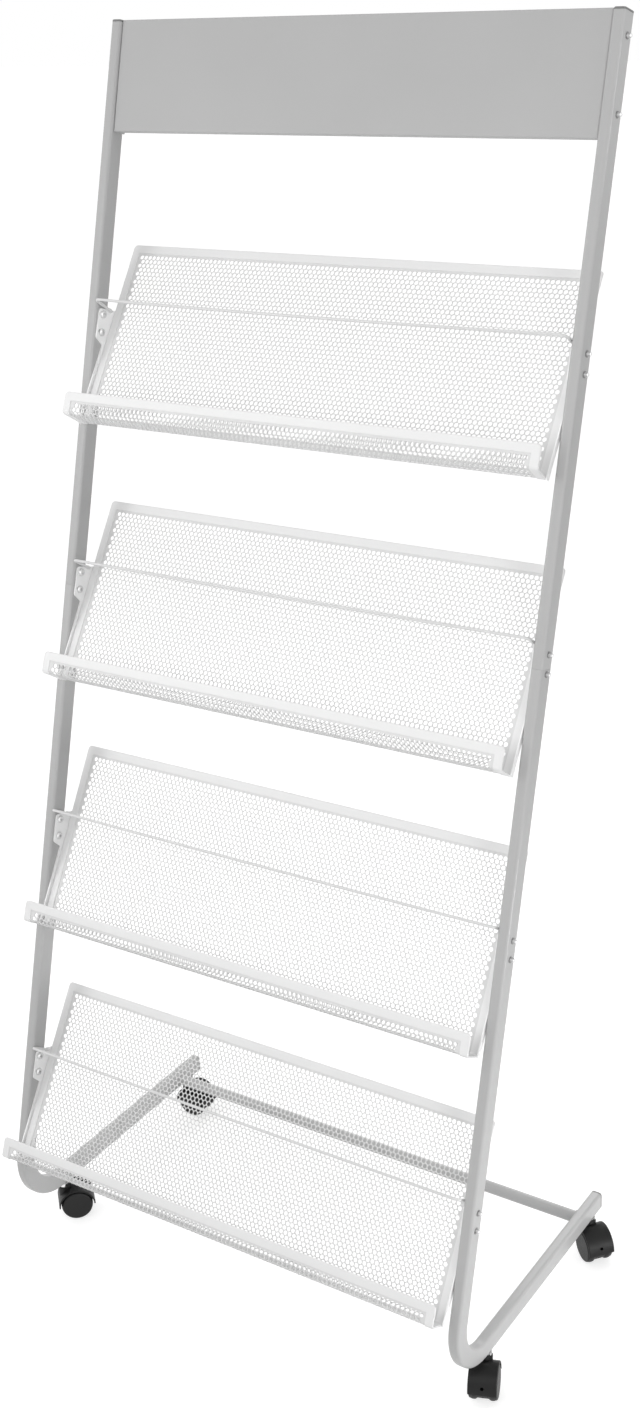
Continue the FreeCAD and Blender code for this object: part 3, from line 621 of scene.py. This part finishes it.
def flat_outline(inset, radius, middle):
    """Closed outline of the flat sheet, drawn in by an inset: four corner arcs and four sides.

    An arc is its centre plus radius times (cos t, sin t) over a quarter turn, and starts after its
    own number of quarter turns. Each side has a station at both ends of its straight part, and the
    ends of the shelf have the folds' stations.
    """
    half, low, high = SHELF_HALF_WIDTH - inset, inset, FLAT_LENGTH - inset
    quarter = np.linspace(0, math.pi / 2, CORNER_STATIONS)
    reach = TOP_CORNER + EDGE_WIDTH + CORNER_LAND

    def corner(x, v, turn):
        angle = quarter + turn * math.pi / 2
        return np.stack([x + radius * np.cos(angle), v + radius * np.sin(angle)], -1)

    ends = np.stack([np.full(len(middle), half), middle], -1)
    return np.concatenate([
        corner(half - radius, low + radius, 3), [[half, reach]], ends,
        corner(half - radius, high - radius, 0),
        [[SHELF_HALF_WIDTH - reach, high], [reach - SHELF_HALF_WIDTH, high]],
        corner(radius - half, high - radius, 1), (ends * [-1, 1])[::-1], [[-half, reach]],
        corner(radius - half, low + radius, 2),
        [[reach - SHELF_HALF_WIDTH, low], [SHELF_HALF_WIDTH - reach, low]],
    ])


def strip_section():
    """Distance in from the rim and distance off the middle, from one inner edge round to the other.

    The rim is a half circle: in by h (1 - cos t) and off by h sin t, with h half the thickness.
    """
    turn = np.linspace(math.pi / 2, -math.pi / 2, HEM_STATIONS)
    rim = np.stack([EDGE_HALF * (1 - np.cos(turn)), EDGE_HALF * np.sin(turn)], -1)
    flank = np.array([[EDGE_WIDTH, GROOVE_HALF], [EDGE_WIDTH, EDGE_HALF - BREAK],
                      [EDGE_WIDTH - BREAK_MIDDLE, EDGE_HALF - BREAK_MIDDLE], [EDGE_WIDTH - BREAK, EDGE_HALF],
                      [EDGE_WIDTH - BESIDE_FOLD, EDGE_HALF], [EDGE_HALF + BESIDE_FOLD, EDGE_HALF]])
    return np.concatenate([flank, rim, (flank * [1, -1])[::-1]])


def folded_edging():
    """Surface (s, t): station s of the outline, drawn in and moved off the middle by section point t.

    Drawn in by a share of the strip's width, a station is that share of the way from the outer
    outline to the inner one.
    """
    stations = fold_stations()
    outer = flat_outline(0.0, TOP_CORNER, stations)
    inner = flat_outline(EDGE_WIDTH, INNER_CORNER, stations)
    section = strip_section()
    share = (section[:, 0] / EDGE_WIDTH)[None, :, None]
    flat = outer[:, None, :] * (1 - share) + inner[:, None, :] * share
    offset = np.broadcast_to(section[:, 1], flat.shape[:2])
    points = on_sheet(flat[..., 0].ravel(), flat[..., 1].ravel(), offset.ravel())
    return points, grid_faces(len(outer), len(section), True, True)


edging_points, edging_faces = folded_edging()
for number in SHELVES:
    add_piece("shelf_%d_folded_edging" % number, from_shelf(edging_points, number), edging_faces,
              "frame", "shelf_paint", ["shelf_%d_edging" % number])
print("faces of an edging:", len(edging_faces))


# %% [markdown]
# ## Retainer wires
# A wire across the front keeps magazines from falling forwards. It is bent from one rod, welded to
# the bracket at each end, and it sags by a millimetre or two in the middle. The sag is a parabola,
# the shape of a rod under its own weight to a good approximation.

# %% The wire's line, and its welds
WIRE_RADIUS = 1.8
WIRE_UP = 150.9                   # above the fold's corner
WIRE_HALF = SHELF_HALF_WIDTH - WIRE_RADIUS
WIRE_ROOT, WIRE_REACH = 8.5, 46.5  # out from the panel: the wire's ends, and its front run
WIRE_CORNER = 8.0
WIRE_SAGS = {1: 2.2, 2: 1.6, 3: 1.0, 4: 0.8}
WIRE_AROUND = 14                  # points round the wire
ARM_LAND = 0.5                    # a second station this far from the wire's end
WIRE_CORNER_STATIONS = 9
WIRE_FRONT_STATIONS = 33
WELD_RADIUS = 1.0
WELD_SUNK = 0.7                   # the beads' middle, in from the end of the shelf
WELD_GAP = 0.1                    # and off the wire's surface, above and below
WELD_START, WELD_END = WIRE_ROOT - 0.6, 13.2  # out from the panel


def wire_line(sag):
    """Stations along the wire in the shelf's frame, with the direction across it in its plane.

    The front run drops by sag times (1 - (x / h)^2), with h half its length. A corner is its centre
    plus the corner's radius times (cos t, sin t) over a quarter turn.
    """
    quarter = np.linspace(0, math.pi / 2, WIRE_CORNER_STATIONS)
    centre = np.array([WIRE_HALF - WIRE_CORNER, WIRE_REACH - WIRE_CORNER])
    round_corner = np.stack([np.cos(quarter), np.sin(quarter)], -1)
    arm = np.array([[WIRE_HALF, WIRE_ROOT], [WIRE_HALF, WIRE_ROOT + ARM_LAND]])
    right = np.concatenate([arm, centre + WIRE_CORNER * round_corner])
    aside = np.concatenate([np.tile([1.0, 0], (len(arm), 1)), round_corner])
    x = np.linspace(centre[0], -centre[0], WIRE_FRONT_STATIONS)[1:-1]
    front = np.stack([x, np.full_like(x, WIRE_REACH)], -1)
    flat = np.concatenate([right, front, (right * [-1, 1])[::-1]])
    normal = np.concatenate([aside, np.tile([0.0, 1.0], (len(x), 1)), (aside * [-1, 1])[::-1]])
    drop = sag * np.clip(1 - (flat[:, 0] / centre[0]) ** 2, 0, 1)
    return np.column_stack([flat, WIRE_UP - drop]), np.column_stack([normal, np.zeros(len(normal))])


def wire_welds():
    """Two short beads at each end, above and below the wire, where it lies on the bracket."""
    beads = []
    for sign in (-1, 1):
        for rise in (-1, 1):
            x, up = sign * (SHELF_HALF_WIDTH - WELD_SUNK), WIRE_UP + rise * (WIRE_RADIUS + WELD_GAP)
            beads.append(short_bead((x, WELD_START, up), (x, WELD_END, up), WELD_RADIUS))
    return joined(beads)


weld_points, weld_faces = wire_welds()
for number in SHELVES:
    centres, aside = wire_line(WIRE_SAGS[number])
    up = np.tile([0, 0, 1.0], (len(centres), 1))
    wire = sweep(centres, aside, up, circle(WIRE_RADIUS, WIRE_AROUND)[None])
    add_piece("shelf_%d_retainer" % number, from_shelf(wire, number), tube_faces(len(centres), WIRE_AROUND),
              "frame", "wire_paint", ["shelf_%d_wire" % number])
    add_piece("shelf_%d_wire_welds" % number, from_shelf(weld_points, number), weld_faces,
              "frame", "shelf_paint")
print("stations along a wire:", len(centres))


# %% [markdown]
# ## Floor
# The rack stands on a plain white floor in a white studio. What the camera sees of both is white by
# itself, and needs no extra light: the floor adds a little of its own to what the lamps give it, so
# the rack's shadow still shows. For every other ray the floor is plain pale matt paint. The node
# that tells the two kinds of ray apart is made first, because the surround needs it too.

# %% A floor that looks white
FLOOR_SIZE = 40.0                 # metres
FLOOR_COLOUR = 0.75               # of the paint that sends light back to the rack
FLOOR_OWN = 0.66                  # what the camera sees of the floor besides its lit paint
FLOOR_LIT = 0.50                  # colour of that paint


def camera_sees(tree):
    """1 for rays from the camera, straight or by a mirror or glass, and 0 for rays that only light."""
    path = tree.nodes.new("ShaderNodeLightPath")
    total = path.outputs["Is Camera Ray"]
    for name in ("Is Glossy Ray", "Is Transmission Ray"):
        either = tree.nodes.new("ShaderNodeMath")
        either.operation = "MAXIMUM"
        tree.links.new(total, either.inputs[0])
        tree.links.new(path.outputs[name], either.inputs[1])
        total = either.outputs["Value"]
    return total


def switched(tree, lighting, seen, output):
    """Sends one shader to the rays that only light, another to those that are seen."""
    switch = tree.nodes.new("ShaderNodeMixShader")
    tree.links.new(camera_sees(tree), switch.inputs["Fac"])
    tree.links.new(lighting, switch.inputs[1])
    tree.links.new(seen, switch.inputs[2])
    tree.links.new(switch.outputs["Shader"], tree.nodes[output].inputs["Surface"])


def white_floor():
    """Matt white paint whose look to the camera is part own light, part lit paint."""
    material = bpy.data.materials.new("floor_white")
    material.use_nodes = True
    tree = material.node_tree
    paint = tree.nodes["Principled BSDF"]
    paint.inputs["Base Color"].default_value = (FLOOR_COLOUR, FLOOR_COLOUR, FLOOR_COLOUR, 1)
    paint.inputs["Roughness"].default_value = 1.0
    paint.inputs["Specular IOR Level"].default_value = 0.0
    seen_paint = tree.nodes.new("ShaderNodeBsdfDiffuse")
    seen_paint.inputs["Color"].default_value = (FLOOR_LIT, FLOOR_LIT, FLOOR_LIT, 1)
    own = tree.nodes.new("ShaderNodeEmission")
    own.inputs["Strength"].default_value = FLOOR_OWN
    seen = tree.nodes.new("ShaderNodeAddShader")
    tree.links.new(seen_paint.outputs["BSDF"], seen.inputs[0])
    tree.links.new(own.outputs["Emission"], seen.inputs[1])
    switched(tree, paint.outputs["BSDF"], seen.outputs["Shader"], "Material Output")
    return material


half = FLOOR_SIZE / 2
floor_mesh = bpy.data.meshes.new("floor")
floor_mesh.from_pydata([(-half, -half, 0), (half, -half, 0), (half, half, 0), (-half, half, 0)], [],
                       [(0, 1, 2, 3)])
floor_mesh.materials.append(white_floor())
floor = bpy.data.objects.new("floor", floor_mesh)
bpy.context.scene.collection.objects.link(floor)
print("floor", FLOOR_SIZE, "m across")


# %% [markdown]
# ## Light from all round
# Thin tubes and sheet look right only when they have something to reflect and to be lit by on all
# sides. So most of the light is a soft surround. It is brighter at the left and above, which gives
# the two sides of a tube different greys.

# %% The surround
SURROUND = 0.61                   # strength in the middle
SURROUND_LEAN = 0.85              # how much brighter the left is than the middle
SURROUND_LIFT = 0.45              # how much brighter the ceiling is than the horizon


def surround(level, lean, lift):
    """Soft light from all round, seen as plain white by the camera and in reflections.

    Its strength is level * (1 - lean * x + lift * z), with x and z the direction's shares to the
    right and up.
    """
    world = bpy.data.worlds.new("surround")
    bpy.context.scene.world = world
    world.use_nodes = True
    tree = world.node_tree
    light = tree.nodes["Background"]
    light.inputs["Color"].default_value = (1, 1, 1, 1)
    direction = tree.nodes.new("ShaderNodeTexCoord")
    share = tree.nodes.new("ShaderNodeSeparateXYZ")
    tree.links.new(direction.outputs["Generated"], share.inputs["Vector"])
    strength = None
    for axis, slope in (("X", -lean), ("Z", lift)):
        more = tree.nodes.new("ShaderNodeMath")
        more.operation = "MULTIPLY_ADD"
        tree.links.new(share.outputs[axis], more.inputs[0])
        more.inputs[1].default_value = slope * level
        more.inputs[2].default_value = level
        if strength:
            tree.links.new(strength, more.inputs[2])
        strength = more.outputs["Value"]
    tree.links.new(strength, light.inputs["Strength"])
    seen = tree.nodes.new("ShaderNodeBackground")
    seen.inputs["Color"].default_value = (1, 1, 1, 1)
    seen.inputs["Strength"].default_value = 1.0
    switched(tree, light.outputs["Background"], seen.outputs["Background"], "World Output")


surround(SURROUND, SURROUND_LEAN, SURROUND_LIFT)
print("surround: %.2f at the left, %.2f at the right, %.2f above"
      % tuple(SURROUND * (1 + change) for change in (SURROUND_LEAN, -SURROUND_LEAN, SURROUND_LIFT)))


# %% [markdown]
# ## Lamps
# Three large soft lamps in front, from the left to the right, give the shelves and the front of the
# tubes their light, and one behind lights their backs. Two small ones with a narrow beam stand at
# the right, for the outer side of the right upright: one high, one low beside the foot. A lamp's
# own colour is white, and no camera sees it.

# %% Six soft lamps
def lamp(name, place, aim, width, height, watts, spread=180):
    """Soft rectangular lamp that faces a point; spread is its beam's angle in degrees."""
    light = bpy.data.lights.new(name, "AREA")
    light.shape = "RECTANGLE"
    light.size, light.size_y, light.energy = width, height, watts
    light.spread = math.radians(spread)
    lamp_object = bpy.data.objects.new(name, light)
    lamp_object.location = place
    lamp_object.rotation_euler = (Vector(aim) - Vector(place)).to_track_quat("-Z", "Y").to_euler()
    lamp_object.visible_camera = False
    bpy.context.scene.collection.objects.link(lamp_object)
    return lamp_object


lamps = [
    lamp("left_box", place=(-1.0, -1.1, 1.5), aim=(-0.36, 0.1, 1.3), width=0.4, height=1.0, watts=5),
    lamp("front_box", place=(0.42, -1.3, 1.5), aim=(-0.1, 0.1, 1.2), width=0.3, height=1.0, watts=4),
    lamp("right_box", place=(1.9, -1.2, 1.2), aim=(0.0, 0.0, 1.0), width=0.6, height=1.2, watts=9),
    lamp("high_right", place=(1.4, 0.2, 1.8), aim=(0.38, 0.24, 1.6), width=0.3, height=0.3, watts=0.4,
         spread=60),
    lamp("back_box", place=(-0.5, 2.2, 1.5), aim=(0.0, 0.1, 0.9), width=0.6, height=1.0, watts=7),
    lamp("low_right", place=(1.9, 0.1, 0.3), aim=(0.2, 0.0, 0.2), width=0.5, height=0.3, watts=2.2,
         spread=70),
]
bpy.context.scene.view_settings.view_transform = "Standard"
print("lamps:", len(lamps), "with", round(sum(one.data.energy for one in lamps), 1), "watts in all")


# %% [markdown]
# ## Finishes
# Nearly everything is powder coated. The powder melts into a skin with a faint waviness, called
# orange peel, about a millimetre from crest to crest, and its colour varies a little over a large
# sheet. One node group makes that skin for all the paints, each with its own colour and amounts.
# The group gives only values that change over the surface. The shader itself stays in the material.

# %% Helpers for node groups
def new_group(name, inputs, outputs):
    """Empty shader group with named inputs (with their values) and outputs, and its two end nodes."""
    group = bpy.data.node_groups.new(name, "ShaderNodeTree")
    for socket, value in inputs.items():
        kind = "NodeSocketFloat" if isinstance(value, float) else "NodeSocketColor"
        made = group.interface.new_socket(socket, in_out="INPUT", socket_type=kind)
        made.default_value = value
    for socket, kind in outputs.items():
        group.interface.new_socket(socket, in_out="OUTPUT", socket_type=kind)
    return group, group.nodes.new("NodeGroupInput"), group.nodes.new("NodeGroupOutput")


def noise(group, scale, detail):
    """Noise over the object's own coordinates, from about 0 to 1, with scale spots to the metre."""
    place = group.nodes.new("ShaderNodeTexCoord")
    texture = group.nodes.new("ShaderNodeTexNoise")
    texture.inputs["Scale"].default_value = scale
    texture.inputs["Detail"].default_value = detail
    group.links.new(place.outputs["Object"], texture.inputs["Vector"])
    return texture.outputs["Fac"]


def math_node(group, operation, first, second):
    """One arithmetic node; each input is a socket or a number."""
    node = group.nodes.new("ShaderNodeMath")
    node.operation = operation
    for slot, value in zip(node.inputs, (first, second)):
        if isinstance(value, (int, float)):
            slot.default_value = value
        else:
            group.links.new(value, slot)
    return node.outputs["Value"]


def spread_about_one(group, value, amount):
    """1 + (value - 0.5) * 2 * amount, so the noise brightens as much as it darkens."""
    centred = math_node(group, "SUBTRACT", value, 0.5)
    scaled = math_node(group, "MULTIPLY", centred, math_node(group, "MULTIPLY", amount, 2.0))
    return math_node(group, "ADD", scaled, 1.0)


def tinted(group, colour, factor):
    """A colour times a grey factor."""
    node = group.nodes.new("ShaderNodeVectorMath")
    node.operation = "SCALE"
    group.links.new(colour, node.inputs[0])
    group.links.new(factor, node.inputs["Scale"])
    return node.outputs["Vector"]


print("node groups before the finishes:", len(bpy.data.node_groups))


# %% Powder coat, moulded plastic and plated steel as groups
CLOUD_DETAIL, FLECK_DETAIL, GLOSS_DETAIL, PEEL_DETAIL = 2.0, 1.0, 3.0, 2.0
GLOSS_FINER = 4                   # the gloss changes over patches this many times smaller than clouds


def skin_group(name, peel_scale, cloud_scale, fleck_scale):
    """Values of a paint, plastic or plating that change over its surface.

    Colour is the base times clouds times flecks, Roughness is the base times a finer noise, and
    Height is the peel, for a bump.
    """
    group, start, end = new_group(
        name,
        {"Colour": (0.5, 0.5, 0.5, 1.0), "Clouds": 0.02, "Flecks": 0.02, "Roughness": 0.4,
         "Gloss Change": 0.1},
        {"Colour": "NodeSocketColor", "Roughness": "NodeSocketFloat", "Height": "NodeSocketFloat"})
    clouds, flecks = noise(group, cloud_scale, CLOUD_DETAIL), noise(group, fleck_scale, FLECK_DETAIL)
    factor = math_node(group, "MULTIPLY", spread_about_one(group, clouds, start.outputs["Clouds"]),
                       spread_about_one(group, flecks, start.outputs["Flecks"]))
    group.links.new(tinted(group, start.outputs["Colour"], factor), end.inputs["Colour"])
    gloss = spread_about_one(group, noise(group, cloud_scale * GLOSS_FINER, GLOSS_DETAIL),
                             start.outputs["Gloss Change"])
    group.links.new(math_node(group, "MULTIPLY", start.outputs["Roughness"], gloss), end.inputs["Roughness"])
    group.links.new(noise(group, peel_scale, PEEL_DETAIL), end.inputs["Height"])
    return group


powder_coat = skin_group("powder_coat", peel_scale=850, cloud_scale=7, fleck_scale=2600)
moulded_plastic = skin_group("moulded_plastic", peel_scale=2400, cloud_scale=40, fleck_scale=1200)
plated_steel = skin_group("plated_steel", peel_scale=1800, cloud_scale=160, fleck_scale=900)
print("skins:", powder_coat.name, moulded_plastic.name, plated_steel.name)


# %% [markdown]
# ## One material for each finish
# A finish is a group with its own values, wired to a Principled shader. What is the same all over,
# such as how metallic a paint is or how strong its clear skin, is set on the shader itself.

# %% A finish
PEEL_DEPTH = 0.2 * MM
COAT_ROUGHNESS = 0.12


def finish(name, group, colour, roughness, clouds=0.02, gloss=0.1, peel=0.02, metallic=0.0, coat=0.0,
           specular=0.5):
    """Principled material with a skin group; colour is a grey, and peel the bump's strength."""
    material = bpy.data.materials.new(name)
    material.use_nodes = True
    tree = material.node_tree
    shader = tree.nodes["Principled BSDF"]
    skin = tree.nodes.new("ShaderNodeGroup")
    skin.node_tree = group
    skin.inputs["Colour"].default_value = (colour, colour, colour, 1)
    skin.inputs["Roughness"].default_value = roughness
    skin.inputs["Clouds"].default_value = clouds
    skin.inputs["Gloss Change"].default_value = gloss
    bump = tree.nodes.new("ShaderNodeBump")
    bump.inputs["Strength"].default_value = peel
    bump.inputs["Distance"].default_value = PEEL_DEPTH
    tree.links.new(skin.outputs["Height"], bump.inputs["Height"])
    tree.links.new(bump.outputs["Normal"], shader.inputs["Normal"])
    tree.links.new(skin.outputs["Colour"], shader.inputs["Base Color"])
    tree.links.new(skin.outputs["Roughness"], shader.inputs["Roughness"])
    shader.inputs["Metallic"].default_value = metallic
    shader.inputs["Coat Weight"].default_value = coat
    shader.inputs["Coat Roughness"].default_value = COAT_ROUGHNESS
    shader.inputs["Specular IOR Level"].default_value = specular
    return material


# %% Make and place the finishes
paint = dict(group=powder_coat)
plastic = dict(group=moulded_plastic, peel=0.5)
steel = dict(group=plated_steel, metallic=1.0)
recipes = {
    "tube_paint": dict(paint, colour=0.43, roughness=0.42, peel=0.25, coat=0.3, specular=0.3),
    "header_paint": dict(paint, colour=0.44, roughness=0.46, peel=0.35, clouds=0.04, specular=0.3),
    "mesh_paint": dict(paint, colour=0.68, roughness=0.50, peel=0.2),
    "shelf_paint": dict(paint, colour=0.77, roughness=0.42, peel=0.3),
    # The brackets have the edging's paint. This lighter copy of it is painted light, for the brightness of
    # their lit inner faces.
    "bracket_paint": dict(paint, colour=0.90, roughness=0.42, peel=0.3),
    # The wire has the shelf's paint. Its darker grey here is painted shade, for the shade along the wire's
    # underside.
    "wire_paint": dict(paint, colour=0.66, roughness=0.38, peel=0.2),
    "cap_plastic": dict(plastic, colour=0.18, roughness=0.5),
    "bolt_steel": dict(steel, colour=0.72, roughness=0.45, gloss=0.25),
    "nut_steel": dict(steel, colour=0.25, roughness=0.4, gloss=0.25),
    "plain_steel": dict(steel, colour=0.55, roughness=0.3, gloss=0.25),
    "stem_chrome": dict(steel, colour=0.75, roughness=0.14, gloss=0.2, peel=0.0),
    "caster_plastic": dict(plastic, colour=0.010, roughness=0.42, specular=0.22),
    "wheel_plastic": dict(plastic, colour=0.012, roughness=0.45, specular=0.25),
}
finishes = {name: finish(name, **recipe) for name, recipe in recipes.items()}
slots = {subpart["node"]: subpart["material_slot"] for subpart in frame["record"]["subparts"]}
for name, node in nodes.items():
    node.data.materials.clear()
    # Brackets take the lighter copy of the shelf paint, which is painted light.
    node.data.materials.append(finishes["bracket_paint" if "bracket" in name else slots[name]])
for piece in bpy.data.objects:
    if "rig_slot" in piece and piece.type == "MESH":
        piece.data.materials.append(finishes[piece["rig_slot"]])
print("finishes:", len(finishes))
